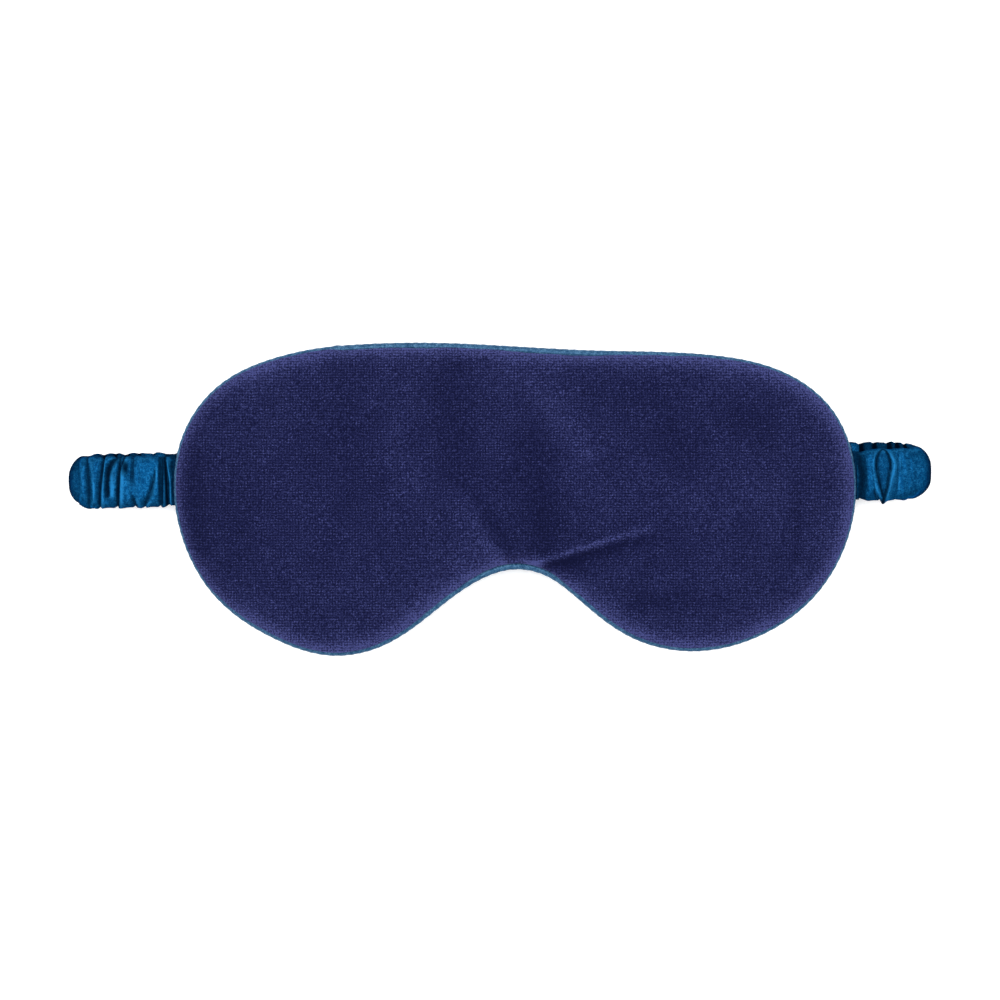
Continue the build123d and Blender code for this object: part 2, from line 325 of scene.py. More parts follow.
# Folds of the velvet and places where brushing has turned its pile, as (line, half width, height,
# tone, start, end). height is how far the cloth rises there, tone how much lighter the pile is:
# partly the pile's brushing, partly painted highlight on the fold's ridge and painted shade in its
# hollow. start and end say how strong the fold is at the two ends of its line.
VELVET_FOLDS = [
    ([(9.0, -20.4), (18.6, -17.4), (27.9, -14.4), (37.2, -11.5), (46.0, -9.0)],
     1.15, 0.85, 2.3, 0.9, 0.35),
    ([(14.5, -20.3), (23.6, -18.0), (34.1, -15.0), (49.6, -11.9)], 1.9, -0.65, -1.6, 1.0, 0.05),
    ([(19.0, -22.6), (24.5, -21.4), (29.5, -19.8)], 3.2, -0.25, -0.95, 0.9, 0.3),
    ([(-14.0, 2.0), (-8.2, -7.4), (-4.6, -13.6), (-1.2, -19.0)], 3.2, 0.5, 0.5, 0.4, 1.0),
    ([(-8.8, 3.0), (-2.6, -6.4), (1.0, -12.6), (3.8, -18.0)], 2.6, -0.7, -0.8, 0.3, 1.0),
    ([(9.0, 18.0), (11.0, 4.0), (14.0, -8.0), (13.8, -15.5)], 6.5, -0.4, -0.85, 0.5, 1.0),
    ([(-13.0, 42.0), (-15.5, 24.0), (-12.5, 8.0)], 5.5, -0.35, -0.50, 0.8, 0.8),
    ([(8.0, 38.0), (17.0, 27.0), (25.5, 15.0)], 6.0, 0.3, 0.55, 0.6, 0.9),
    ([(-48.0, 41.0), (-49.5, 22.0), (-47.0, 0.0)], 9.0, -0.3, -0.30, 0.8, 0.7),
    ([(-30.0, 34.0), (-31.5, 18.0), (-28.0, 4.0)], 6.0, 0.25, 0.35, 0.3, 0.8),
    ([(33.0, 36.0), (48.0, 31.0), (57.0, 12.0)], 7.5, -0.3, -0.36, 0.8, 0.9),
    ([(74.0, 26.0), (80.0, 23.0)], 6.5, -0.35, -0.42, 1.0, 1.0),
    ([(91.5, 5.0), (91.9, -8.0), (91.0, -19.0)], 1.3, -0.3, -0.6, 0.6, 0.6),
    ([(43.0, -32.5), (57.0, -31.0), (73.0, -30.0)], 3.4, -0.3, -0.5, 1.0, 0.3),
    ([(38.0, -14.0), (52.0, -11.5)], 5.0, -0.3, -0.3, 1.0, 0.6),
    ([(60.0, 0.0), (80.0, 4.0)], 9.0, 0.2, 0.2, 1.0, 1.0),
    ([(-10.0, -14.0), (-18.0, -26.0), (-30.0, -33.0)], 6.0, 0.2, 0.25, 1.0, 0.6),
    ([(20.0, 2.0), (34.0, 0.0)], 5.5, 0.2, 0.2, 1.0, 0.6),
    ([(-85.0, 2.0), (-80.0, -18.0)], 9.0, -0.2, -0.25, 1.0, 1.0),
    ([(-93.5, 12.0), (-94.5, 0.0), (-92.0, -14.0)], 4.0, -0.15, -0.6, 0.8, 0.8),
]


def velvet_folds(points):
    """How far the folds lift each point, and how light its pile is: the pile's brushing, with painted
    highlight on the folds' ridges and painted shade in their hollows.
    """
    lift = np.zeros(len(points))
    nap_and_fold_shading = np.zeros(len(points))
    for line, width, height, tone, start, end in VELVET_FOLDS:
        gap, share = stroke_distance(points, line)
        strength = (start + (end - start) * share) * np.exp(-((gap / width) ** 2))
        lift += height * strength
        nap_and_fold_shading += tone * strength
    return lift, nap_and_fold_shading


NOISE_WAVES = 14


def value_noise(points, scale, seed):
    """Smooth seeded noise from -1 to 1 over the plan, with features of about scale mm."""
    rng = np.random.default_rng(seed)
    total = np.zeros(len(points))
    for _ in range(NOISE_WAVES):
        angle = rng.uniform(0, 2 * math.pi)
        rate = 2 * math.pi / (scale * rng.uniform(0.75, 1.6))
        phase = rng.uniform(0, 2 * math.pi)
        along = points[:, 0] * math.cos(angle) + points[:, 1] * math.sin(angle)
        total += np.sin(rate * along + phase)
    return total / NOISE_WAVES * 2.0


# The velvet's middle is a net of this spacing, finer round the folds above the notch.
VELVET_LATTICE = 1.9
FOLD_LATTICE = 0.95
FOLDS_AT = (16.0, -12.0)
FOLDS_RADIUS = 26.0
# The velvet stays above the foam's top from this far inside the edge.
FOAM_TOP = 14.1
FOAM_FROM_EDGE = 4.5
BACK_LATTICE = 2.6
BACK_FLOOR = 3.42


def make_velvet():
    """The velvet front: a rim that rolls over the piping, a crowned middle and its soft folds."""
    over = edge_overhang()
    profile = [
        (1.75, 10.8), (0.8, 11.6), (0.22, 11.95), (0.0, 12.5), (0.22, 13.15), (0.85, 13.8),
        (1.9, 14.45), (3.5, 15.0), (5.6, 15.3),
    ]
    insets = [over + inset for inset, _ in profile]
    heights = [np.full(len(EDGE), height) for _, height in profile]

    def crown(gap):
        return 15.3 + 0.7 * (1 - np.exp(-(gap - 6.6) / 14))

    velvet = panel_mesh(
        "velvet_front", insets, heights, crown, VELVET_LATTICE, FOLD_LATTICE, FOLDS_AT, FOLDS_RADIUS
    )
    outward(velvet, True)
    inflate(velvet, range(3 * EDGE_POINTS), pressure=1.2, looseness=0.012, cap=1.1)
    subdivide(velvet)
    points = read_points(velvet)
    gap = edge_distance(points[:, :2])
    lift, nap_and_fold_shading = velvet_folds(points[:, :2])
    inside = smooth_step(2.0, 7.0, gap)
    top = smooth_step(12.6, 14.2, points[:, 2])
    lift = lift * np.maximum(inside, 0.5) + 0.12 * value_noise(points[:, :2], 14, SEED) * inside
    points[:, 2] += lift * top
    over_foam = gap > FOAM_FROM_EDGE
    points[over_foam, 2] = np.maximum(points[over_foam, 2], FOAM_TOP)
    write_points(velvet, points)
    # Pile tone: the folds' painted highlight and painted shade, and a little random tone from brushing of
    # the pile.
    pile_tone_and_fold_shading = nap_and_fold_shading + 0.10 * value_noise(points[:, :2], 11, SEED + 1)
    set_attribute(velvet, "nap_and_fold_shading", pile_tone_and_fold_shading)
    # Painted sheen: the pile is painted lighter in a band just inside the rolled edge, wider away from
    # the left end, with a broader glow there too.
    away_from_left = smooth_step(-92, -76, points[:, 0])
    broad_rim_sheen = 0.5 * away_from_left * np.exp(-((gap / 7.0) ** 2))
    rim = np.exp(-(((gap - 1.6) / (1.9 + 0.9 * away_from_left)) ** 2))
    set_attribute(velvet, "rim", rim + broad_rim_sheen)
    return velvet


def make_satin_back():
    """The satin back: a thinner rim under the piping and a middle that bows towards the face."""
    near_strap = np.zeros(len(EDGE), bool)
    for side in ("right", "left"):
        low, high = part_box(side + "_strap_anchor")
        middle_y = (low.y + high.y) / 2 / MM
        x = (low.x + high.x) / 2 / MM
        at_side = (EDGE[:, 0] * x > 0) & (np.abs(EDGE[:, 0]) > 80)
        near_strap |= at_side & (np.abs(EDGE[:, 1] - middle_y) < 8.5)
    profile = [
        (2.7, 8.9), (1.75, 8.35), (1.25, 7.6), (1.2, 6.8), (1.6, 5.9), (2.5, 5.1), (4.0, 4.5),
        (6.2, 4.05), (8.4, 3.85),
    ]
    insets = [np.full(len(EDGE), inset) for inset, _ in profile]
    ceiling = np.where(near_strap, 8.2, 9.0)
    heights = [np.minimum(ceiling, height) for _, height in profile]

    def crown(gap):
        return 3.85 - 0.3 * (1 - np.exp(-(gap - 8.4) / 10))

    back = panel_mesh("satin_back", insets, heights, crown, BACK_LATTICE, BACK_LATTICE, (0.0, 0.0), 0.0)
    outward(back, False)
    inflate(back, range(2 * EDGE_POINTS), pressure=0.8, looseness=0.02, cap=0.5)
    subdivide(back)
    points = read_points(back)
    points[:, 2] = np.maximum(points[:, 2], BACK_FLOOR)
    gap = edge_distance(points[:, :2])
    pucker = np.exp(-(((gap - 3.5) / 2.4) ** 2)) * value_noise(points[:, :2], 5, SEED + 5)
    points[:, 2] += 0.22 * pucker
    write_points(back, points)
    return back


# ---- Piping -----------------------------------------------------------------------------

PIPE_AROUND = 22
PIPE_STEPS = 1400
NUB_AT = (-50.8, 47.9)


def make_piping():
    """Satin piping: a bias strip rolled round its cord, with fine puckers and its join."""
    count = len(EDGE)
    place = np.arange(PIPE_STEPS) * count / PIPE_STEPS
    wrap = np.arange(count + 1)
    closed_edge = np.vstack([EDGE, EDGE[:1]])
    closed_inward = np.vstack([INWARD, INWARD[:1]])
    edge = np.stack([np.interp(place, wrap, closed_edge[:, k]) for k in (0, 1)], 1)
    inward = np.stack([np.interp(place, wrap, closed_inward[:, k]) for k in (0, 1)], 1)
    inward /= np.linalg.norm(inward, axis=1)[:, None]
    length = np.linalg.norm(np.diff(np.vstack([edge, edge[:1]]), axis=0), axis=1).sum()
    along = np.arange(PIPE_STEPS) / PIPE_STEPS * length
    nub = np.exp(-(((edge[:, 0] - NUB_AT[0]) / 1.3) ** 2)) * (edge[:, 1] > 20)
    rings = []
    for k in range(PIPE_AROUND):
        angle = 2 * math.pi * (k + 0.5) / PIPE_AROUND
        twist = along * 2.05 + 2.4 * math.sin(angle) + 0.8 * np.sin(along * 0.37)
        radius = BEAD_RADIUS - 0.06 + 0.05 * np.sin(twist) + 0.02 * np.sin(along * 5.3 + 2 * angle)
        radius = radius + 0.16 * nub
        inset = BEAD_RADIUS + radius * math.cos(angle)
        height = BEAD_HEIGHT + radius * math.sin(angle)
        rings.append(np.column_stack([edge + inward * inset[:, None], height]))
    tail = [(6.8, 9.88), (6.8, 9.55)]
    for inset, height in tail:
        rings.append(np.column_stack([edge + inward * inset, np.full(PIPE_STEPS, height)]))
    order = [*range(1, PIPE_AROUND), PIPE_AROUND + 1, PIPE_AROUND, 0]
    points = np.concatenate([rings[k] for k in order])
    faces = grid_faces(len(order), PIPE_STEPS, wrap_rows=True)
    return make_object("satin_piping", points, faces)


# ---- The strap's path -------------------------------------------------------------------

RIGHT_TURN = [
    (110.9, 8.7), (112.35, 8.7), (115.0, 8.85), (119.0, 9.3), (124.0, 9.5), (128.2, 9.1), (131.2, 7.8),
    (132.6, 5.5), (131.9, 3.4), (129.4, 2.1), (125.0, 1.7),
]
LEFT_TURN = [
    (-125.0, 1.7), (-129.4, 2.1), (-131.9, 3.4), (-132.6, 5.5), (-131.2, 7.8), (-128.2, 9.1),
    (-123.0, 9.5), (-114.0, 9.5), (-107.0, 9.2), (-103.07, 8.75), (-101.6, 8.7),
]


def natural_spline(knots, values, wanted):
    """A natural cubic spline through values at knots, read at wanted."""
    gaps = np.diff(knots)
    count = len(knots)
    matrix = np.eye(count)
    right = np.zeros(count)
    for i in range(1, count - 1):
        matrix[i, i - 1: i + 2] = (gaps[i - 1], 2 * (gaps[i - 1] + gaps[i]), gaps[i])
        slope = (values[i + 1] - values[i]) / gaps[i] - (values[i] - values[i - 1]) / gaps[i - 1]
        right[i] = 6 * slope
    bend = np.linalg.solve(matrix, right)
    k = np.clip(np.searchsorted(knots, wanted) - 1, 0, count - 2)
    a = (knots[k + 1] - wanted) / gaps[k]
    b = 1 - a
    curve = ((a**3 - a) * bend[k] + (b**3 - b) * bend[k + 1]) * gaps[k] ** 2 / 6
    return a * values[k] + b * values[k + 1] + curve


def strap_path():
    """The strap's middle line from the right seam to the left one: s, x, y, z and the outward normal."""
    run = [(x, RUN_HEIGHT) for x in (110.0, 88.0, 60.0, 30.0, 0.0, -30.0, -60.0, -93.0, -112.0)]
    knots = np.array(RIGHT_TURN + run + LEFT_TURN, float)
    chord = np.concatenate([[0], np.cumsum(np.linalg.norm(np.diff(knots, axis=0), axis=1))])
    fine = np.linspace(0, chord[-1], 9000)
    x, z = (natural_spline(chord, knots[:, k], fine) for k in (0, 1))
    length = np.concatenate([[0], np.cumsum(np.hypot(np.diff(x), np.diff(z)))])
    s = np.linspace(0, length[-1], int(length[-1] / STRAP_STEP) + 1)
    x, z = np.interp(s, length, x), np.interp(s, length, z)
    tx, tz = np.gradient(x, s), np.gradient(z, s)
    size = np.hypot(tx, tz)
    tx, tz = tx / size, tz / size
    right_end = s[np.argmax(x)]
    left_end = s[np.argmin(x)]
    y = np.interp(
        s,
        [0, right_end - 3, right_end + 8, left_end - 8, left_end + 3, s[-1]],
        [7.35, 8.0, 10.05, 6.3, 5.0, 5.6],
    )
    y = np.convolve(np.pad(y, 15, mode="edge"), np.ones(31) / 31, mode="valid")
    return {
        "s": s, "x": x, "y": y, "z": z, "tx": tx, "tz": tz,
        "right_end": right_end, "left_end": left_end,
    }


PATH = strap_path()


# ---- The strap's gathers ----------------------------------------------------------------

def loop_pull(x, q):
    """How far the strap's edges draw in from the end of a folded loop, which rounds its corners."""
    turn = smooth_step(121.0, 132.5, np.abs(x)) ** 1.6
    return turn * np.where(q > 0, 2.6 * np.abs(q) ** 2.6, 4.2 * np.abs(q) ** 2.8)


def top_s(x, q=0.0):
    """Arc length of the upper, visible layer of the strap where it shows at x."""
    seen = np.asarray(x, float) + 0.0 * np.asarray(q, float)
    side = 1.0 if seen.flat[0] > 0 else -1.0
    place = seen
    for _ in range(4):
        place = seen + side * loop_pull(place, q)
    s, xs = PATH["s"], PATH["x"]
    part = s <= PATH["right_end"] if side > 0 else s >= PATH["left_end"]
    return np.interp(place, xs[part], s[part])


def run_s(x):
    """Arc length of the strap's lower layer at x."""
    run = (PATH["s"] > PATH["right_end"] + 4) & (PATH["s"] < PATH["left_end"] - 4)
    return float(np.interp(-x, -PATH["x"][run], PATH["s"][run]))


# The valleys of the two upper layers. Each has its line across the strap, as (share across,
# x) pairs from the bottom edge up, then half width, depth, the middle and half length of its
# reach across, and skew: above 0 the side towards +X is the steep one.
TOP_VALLEYS = [
    ([(-1, -130.0), (1, -130.0)], 1.5, 0.50, 0.0, 1.8, 0.0),
    ([(-1, -127.2), (0, -127.6), (1, -127.8)], 1.3, 0.80, 0.0, 1.8, 0.2),
    ([(-1, -123.9), (-0.4, -123.8), (0.4, -123.1), (1, -122.6)], 1.1, 0.95, 0.0, 1.8, 0.55),
    ([(-0.8, -121.4), (0, -121.5), (0.3, -121.2), (0.57, -120.6), (0.8, -119.6), (1, -118.5)],
     1.35, 1.0, 0.2, 1.1, 0.25),
    ([(-1, -118.4), (-0.3, -118.4), (0.3, -118.0), (1, -117.5)], 1.0, 0.95, 0.0, 1.8, 0.6),
    ([(0, -113.8), (1, -113.7)], 1.4, 0.70, 0.55, 0.75, 0.0),
    ([(-1, -113.2), (-0.6, -113.8)], 0.9, 0.80, -0.95, 0.45, 0.0),
    ([(-1, -110.2), (-0.5, -108.2), (0.2, -107.4)], 0.9, 0.75, -0.5, 0.8, 0.45),
    ([(-1, -105.3), (1, -105.4)], 0.8, 0.85, 0.0, 1.8, 0.3),
    ([(-1, -102.9), (0, -103.0), (0.85, -104.0)], 1.15, 1.0, -0.1, 1.4, 0.3),
    ([(-1, -100.9), (1, -100.9)], 0.9, 0.8, 0.0, 1.8, 0.0),
    ([(-1, 112.0), (0, 112.3), (1, 111.3)], 2.9, 1.0, -0.1, 1.7, 0.0),
    ([(-1, 117.9), (-0.7, 116.7)], 0.7, 0.75, -0.95, 0.4, 0.3),
    ([(-1, 122.6), (1, 123.4)], 0.9, 0.22, 0.0, 1.8, -0.3),
    ([(-1, 126.0), (1, 127.4)], 1.4, 0.14, 0.3, 1.0, 0.0),
]
# Sharp creases of the two upper layers, painted as lines of painted shade: (share across, x, half
# width) from the bottom edge up, and how dark each is. Their crests lie just to the right of them and
# get a painted highlight.
CREASES = [
    ([(-1.0, -129.9, 0.4), (1.0, -130.1, 0.4)], 0.4),
    ([(-0.9, -127.0, 0.6), (0.9, -127.8, 0.6)], 0.65),
    ([(-0.9, -123.8, 0.3), (0.0, -123.9, 0.35), (0.9, -122.9, 0.3)], 0.85),
    ([(-0.45, -120.7, 0.25), (-0.1, -121.3, 0.7), (0.33, -121.4, 0.8), (0.6, -120.9, 0.6),
      (0.85, -119.9, 0.4), (1.0, -118.5, 0.3)], 0.95),
    ([(-1.0, -118.3, 0.3), (0.33, -118.0, 0.3), (0.6, -117.6, 0.3), (0.95, -116.5, 0.3)], 1.0),
    ([(-1.0, -112.6, 0.5), (-0.7, -112.9, 0.2)], 0.9),
    ([(-0.92, -110.1, 0.35), (-0.5, -109.0, 0.35), (-0.1, -108.0, 0.3), (0.4, -107.5, 0.25)], 0.75),
    ([(-0.9, -105.0, 0.35), (0.9, -104.9, 0.35)], 0.9),
    ([(-1.0, -103.3, 0.55), (1.0, -104.1, 0.5)], 1.0),
    ([(-1.0, -101.0, 0.35), (1.0, -100.9, 0.35)], 0.95),
    ([(-1.0, 118.6, 0.7), (-0.8, 118.9, 0.35)], 1.0),
    ([(-1.0, 117.2, 0.3), (-0.7, 116.4, 0.25)], 0.8),
    ([(-0.6, 122.2, 0.5), (0.7, 122.9, 0.6)], 0.28),
    ([(0.7, 131.4, 0.4), (0.88, 130.4, 0.7), (0.97, 128.6, 0.5)], 0.8),
]
# Where the painted highlight beside each crease lies and how wide it is.
CREST_OFFSET = 0.5
CREST_WIDTH = 0.45
# Small pockets of the upper layers: (x, share across, half length, half width, depth).
POCKETS = [
    (-116.3, 0.60, 0.95, 0.26, 1.0),
    (-101.8, 0.66, 0.8, 0.26, 0.95),
    (-119.9, 0.25, 1.0, 0.42, 0.4),
]
# Puckers of the lower layer where it shows past the right upper one.
BACK_PUCKERS = (112.6, 116.8, 121.3, 127.4)
LENS_X = [(-1.0, 119.1), (0.3, 119.05), (1.0, 118.9)]
LENS_HALF = 2.1
NUB_OUT = 1.0


def lens_pocket(s, q):
    """The open pocket of the right upper layer: its inside, a dark line of painted shade round it with
    painted shade over its lower part, and its lips.
    """
    centre = np.interp(q, *zip(*[(k, float(top_s(x))) for k, x in LENS_X]))
    above = np.sqrt(np.clip(1 - ((q - 0.3) / 0.68) ** 2, 0, 1))
    below = np.clip(1 - (0.3 - q) / 1.27, 0, 1) ** 0.85
    half = LENS_HALF * np.where(q > 0.3, above, below)
    gap = s - centre
    beside = np.abs(gap) - half
    inside = 1 - smooth_step(-0.45, 0.1, beside)
    # Painted shade: a dark line round the pocket, and darkening over its lower part.
    line = np.exp(-(((beside + 0.1) / 0.24) ** 2)) * np.where(gap > 0, 0.85, 1.0) * (np.abs(q) < 0.99)
    closing = inside * smooth_step(0.1, 0.9, -q)
    lips = np.exp(-(((beside - 0.75) / 0.6) ** 2)) * np.where(gap > 0, 1.0, 0.55)
    near = np.abs(gap) < 6
    return inside * near, np.maximum(line, closing) * near, lips * near


def crease_marks(s, q):
    """How much painted shade the sharp creases put at each place, and how much painted highlight lies on
    their crests.
    """
    dark = np.zeros_like(s)
    crest_highlight = np.zeros_like(s)
    for line, strength in CREASES:
        shares, places, widths = zip(*line)
        gap = s - top_s(np.interp(q, shares, places), q)
        width = np.interp(q, shares, widths)
        begun = smooth_step(shares[0] - 0.15, shares[0], q)
        reach = begun * (1 - smooth_step(shares[-1], shares[-1] + 0.15, q))
        dark = np.maximum(dark, strength * reach * np.exp(-((gap / width) ** 2)))
        beside = gap - width - CREST_OFFSET
        crest_highlight = np.maximum(crest_highlight, strength * reach * np.exp(-((beside / CREST_WIDTH) ** 2)))
    return dark, crest_highlight


def gather_lines():
    """Seeded valleys for the rest of the strap, between the two upper layers."""
    rng = np.random.default_rng(SEED)
    lines = []
    place = PATH["right_end"] + 6.0
    end = PATH["left_end"] - 5.0
    fixed = [run_s(x) for x in CUTS]
    shown = [run_s(x) for x in BACK_PUCKERS]
    while place < end:
        width = rng.uniform(1.3, 2.3)
        tilt = rng.normal(0, 0.8)
        bow = rng.normal(0, 0.6)
        depth = rng.uniform(0.7, 1.0)
        middle = rng.choice([0.0, 0.0, -0.5, 0.5])
        reach = 1.8 if middle == 0 else rng.uniform(0.6, 1.1)
        skew = rng.uniform(-0.6, 0.6)
        clear_of_cuts = min(abs(place - cut) for cut in fixed) > 1.6
        if clear_of_cuts and min(abs(place - at) for at in shown) > 2.2:
            lines.append((place, tilt, bow, width, depth, middle, reach, skew))
        place += rng.uniform(1.9, 3.5)
    lines += [(at, 0.3, 0.0, 1.5, 1.0, 0.4, 1.6, 0.5) for at in shown]
    lines += [(cut, 0.0, 0.0, 1.5, 1.0, 0.0, 2.5, 0.0) for cut in fixed]
    return lines


def valley(gap, q, width, depth, middle, reach, skew):
    """One gather's valley: a sharp bottom between two round shoulders."""
    across = np.clip(np.abs(gap) / (width * np.where(gap > 0, 1 - skew, 1 + skew)), 0, 1)
    fade = 1 - smooth_step(0.55 * reach, reach, np.abs(q - middle))
    return depth * fade * (1 - across) ** 2 * (1 + across)


def valley_field(s, q):
    """How deep the gathers press the cloth in at each place, from 0 on a ridge to 1 on the elastic."""
    open_share = np.ones_like(s)
    for line, *shape in TOP_VALLEYS:
        shares, places = zip(*line)
        centre = top_s(np.interp(q, shares, places), q)
        open_share *= 1 - valley(s - centre, q, *shape)
    for place, tilt, bow, *shape in GATHERS:
        centre = place + tilt * q + bow * q * q
        open_share *= 1 - valley(s - centre, q, *shape)
    for x, across, half_length, half_width, depth in POCKETS:
        pit = np.exp(-(((s - float(top_s(x))) / half_length) ** 2) - ((q - across) / half_width) ** 2)
        open_share *= 1 - depth * pit
    return 1 - open_share


GATHERS = gather_lines()


def section_angles():
    """Points round the strap's flat oval section as (share across, share of the thickness)."""
    found = []
    power = 2 / 3.4
    for k in range(STRAP_AROUND):
        angle = 2 * math.pi * k / STRAP_AROUND
        c, d = math.cos(angle), math.sin(angle)
        found.append((math.copysign(abs(c) ** power, c), math.copysign(abs(d) ** power, d)))
    return np.array(found)


def path_columns(part):
    """The chosen samples of the path, one column each: s, x, y, z and the tangent's x and z."""
    return [PATH[key][part][:, None] for key in ("s", "x", "y", "z", "tx", "tz")]


def strap_points(part):
    """The casing's surface over the chosen samples of the path, one ring per sample, with its painted
    shade, darkest where a point lies deep between the gathers, and its painted highlight on ridges."""
    s, x, y, z, tx, tz = path_columns(part)
    section = section_angles()
    q = np.broadcast_to(section[None, :, 0], (len(s), STRAP_AROUND))
    v = np.broadcast_to(section[None, :, 1], q.shape)
    s = np.broadcast_to(s, q.shape)
    outer = v > 0
    sunk = valley_field(np.where(outer, s, s + 0.5), q)
    right_end, left_end = PATH["right_end"], PATH["left_end"]
    past_right = smooth_step(right_end - 2, right_end + 7, s)
    upper = np.maximum(1 - past_right, smooth_step(left_end - 7, left_end + 2, s))
    clear_of_mask = smooth_step(110.0, 114.0, np.abs(x))
    loose = 0.5 * clear_of_mask * (1 - upper)
    ruche = RUCHE_RUN + np.where(outer, (RUCHE_TAB - RUCHE_RUN) * upper, loose)
    ripple = 0.08 * np.sin(s * 2.3 + 1.7 * q) * np.sin(s * 0.71 + 3.1 * q)
    height = STRAP_CORE + ruche * (1 - sunk) * (0.88 + ripple)
    inside, line, lips = lens_pocket(s, q)
    height = np.where(outer, height * (1 - 0.66 * inside) + 0.5 * lips * (1 - inside), height)
    from_seam = np.minimum(s, PATH["s"][-1] - s)
    height = height * (0.42 + 0.58 * smooth_step(0, 3.4, from_seam))
    edge_sunk = valley_field(s, np.where(q > 0, 0.97, -0.97))
    half = STRAP_WIDTH / 2 - (0.45 + 0.4 * upper) * edge_sunk + 0.16 * np.sin(s * 0.9 + (q > 0) * 2)
    half = half - 0.35 * (1 - smooth_step(0, 4, from_seam))
    half = half + NUB_OUT * (q < 0) * np.exp(-(((s - float(top_s(118.9))) / 0.8) ** 2))
    lean = 0.45 * np.sin(s * 0.63 + 1.1) + 0.3 * np.sin(s * 1.7)
    slide = 0.6 * lean * (np.abs(v) * height - STRAP_CORE)
    px = x - tz * v * height + tx * slide - np.sign(x) * loop_pull(x, q)
    pz = z + tx * v * height + tz * slide
    py = y + q * half
    # Painted shade: the cloth is darkened where it lies deep between the gathers.
    shade = 0.85 * smooth_step(0.12, 0.92, sunk)
    # Painted shade in the pocket: light over its inside, dark along its outline.
    pocket = np.maximum(0.3 * inside, 0.95 * line)
    shade = np.where(outer, np.maximum(shade * (1 - inside), pocket), shade)
    # Painted shade on the inside of the lower layer where it runs clear of the mask.
    lower_layer_shade = 0.55 * (1 - upper) * ~outer * clear_of_mask
    # Painted shade in the sharp creases, and painted highlight beside them.
    dark, crest_highlight = crease_marks(s, q)
    # Painted shade where the loops turn over at their ends, and along the strap's two edges.
    loop_end_shade = 0.9 * smooth_step(0.35, 0.92, np.abs(tz))
    side = 0.6 * smooth_step(0.95, 1.0, np.abs(q))
    shade = np.maximum(shade + lower_layer_shade, np.maximum(loop_end_shade, side))
    shade = np.clip(np.maximum(shade, dark * outer), 0, 1)
    # Painted highlight along the top edge of the upper layers, beside the creases and on the pocket's
    # lips.
    top_edge_highlight = 0.5 * np.exp(-(((q - 0.9) / 0.05) ** 2)) * upper
    crest_highlight = np.maximum(np.maximum(crest_highlight, top_edge_highlight), 0.8 * lips) * outer * (1 - dark)
    return np.stack([px, py, pz], 2), shade, crest_highlight


def band_points(part, width, thickness):
    """A flat elastic band's surface over the chosen samples of the path."""
    s, x, y, z, tx, tz = path_columns(part)
    across = np.linspace(-1, 1, 24)
    ribs = 0.05 * np.cos(across * 24)
    q = np.concatenate([across, across[::-1]])[None, :]
    v = np.concatenate([0.5 * thickness + ribs, -0.5 * thickness - ribs])[None, :]
    thin = 0.3 + 0.7 * smooth_step(0, 4, np.minimum(s, PATH["s"][-1] - s))
    px = x - tz * v * thin - np.sign(x) * loop_pull(x, q * width / STRAP_WIDTH)
    pz = z + tx * v * thin + 0 * q
    py = y + q * width / 2
    return np.stack([px, py + 0 * v, pz], 2)


def tube(name, rings, caps):
    """A tube through rings of points."""
    rows, around, _ = rings.shape
    faces = grid_faces(rows, around)
    if caps:
        faces += [tuple(reversed(range(around))), tuple((rows - 1) * around + k for k in range(around))]
    return make_object(name, rings.reshape(-1, 3), faces)


def outward_tube(obj):
    """Turns a tube's faces so that their normals point out of it."""
    points = read_points(obj)
    total = 0.0
    for face in obj.data.polygons:
        first, *others = [Vector(points[k]) for k in face.vertices]
        total += sum(first.dot(b.cross(c)) for b, c in zip(others, others[1:]))
    if total < 0:
        obj.data.flip_normals()


SEAM_WIDTH = 15.0
SEAM_STEPS = 24
SEAM_PAST_EDGE = 0.9


def make_seam_end(side):
    """The gathered end of the strap in the mask's seam: a flat tongue with fine pleats."""
    low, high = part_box(side + "_strap_anchor")
    if side == "right":
        inner, outer = low.x / MM, high.x / MM + SEAM_PAST_EDGE
    else:
        inner, outer = high.x / MM, low.x / MM - SEAM_PAST_EDGE
    middle_y = PATH["y"][0 if side == "right" else -1]
    middle_z = (low.z + high.z) / 2 / MM
    section = section_angles()
    q, v = section[:, 0], section[:, 1]
    rings = []
    for x in np.linspace(inner, outer, SEAM_STEPS):
        pleats = 0.11 * np.sin(q * 31 + 0.5 * math.sin(x)) + 0.05 * np.sin(q * 67 + x)
        thickness = 0.34 + pleats * (1 - np.abs(q) ** 4)
        rings.append(np.column_stack([
            np.full(len(q), x), middle_y + q * SEAM_WIDTH / 2, middle_z + v * thickness,
        ]))
    tongue = tube(side + "_seam_end", np.array(rings), True)
    outward_tube(tongue)
    # Painted shade over the whole tongue, with no painted highlight.
    set_attribute(tongue, "sunk", np.full(len(tongue.data.vertices), 0.75))
    set_attribute(tongue, "crest_highlight", np.zeros(len(tongue.data.vertices)))
    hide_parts(side + "_strap_anchor")
    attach(tongue, "mask")
    return tongue


FOLD_TOP = 6.9
FOLD_BOTTOM = 3.3
BEND_REACH = 12.0


